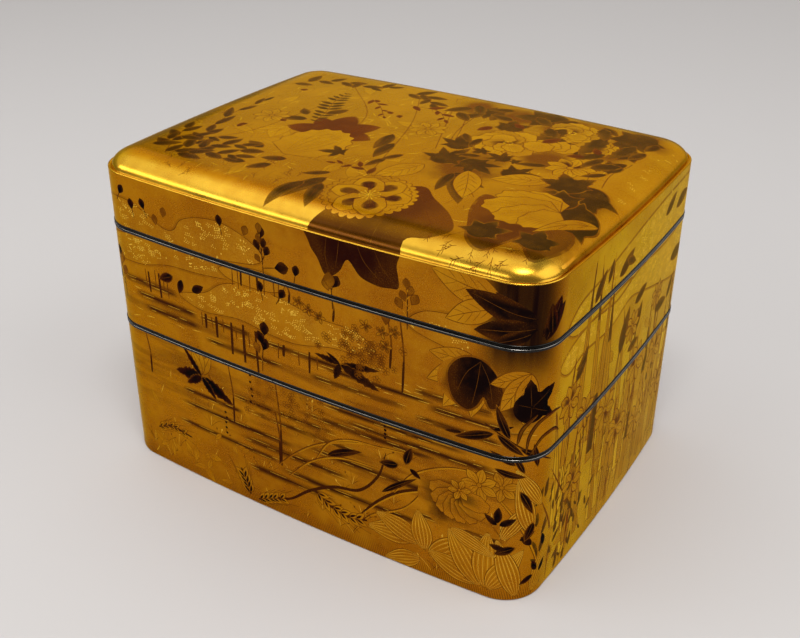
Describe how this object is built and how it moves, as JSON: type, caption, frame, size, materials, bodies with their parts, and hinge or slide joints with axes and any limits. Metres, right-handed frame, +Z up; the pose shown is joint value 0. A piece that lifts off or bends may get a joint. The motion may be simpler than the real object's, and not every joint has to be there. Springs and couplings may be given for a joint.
{
  "type": "tiered lacquer box",
  "caption": "Tiered lacquer box with a lift-off lid, rounded shoulders, bowed sides and pewter rims, decorated in gold and brown with leaves, flowers and mist.",
  "frame": {"origin": "centre of the underside's bounding box, on the surface that the box stands on", "axes": "+X along the long side to the right, +Y to the back, +Z up; the front is the long side at -Y"},
  "size_m": [0.2366, 0.18, 0.166],
  "materials": {
    "gold_lacquer": "wood core under polished gold lacquer with brown painted plants",
    "pewter": "dull grey pewter strip"
  },
  "bodies": {
    "root": {"lid": "gold_lacquer", "upper_tier": "gold_lacquer", "lower_tier": "gold_lacquer", "lid_rim": "pewter", "upper_tier_top_rim": "pewter", "upper_tier_bottom_rim": "pewter", "lower_tier_rim": "pewter"}
  },
  "joints": []
}
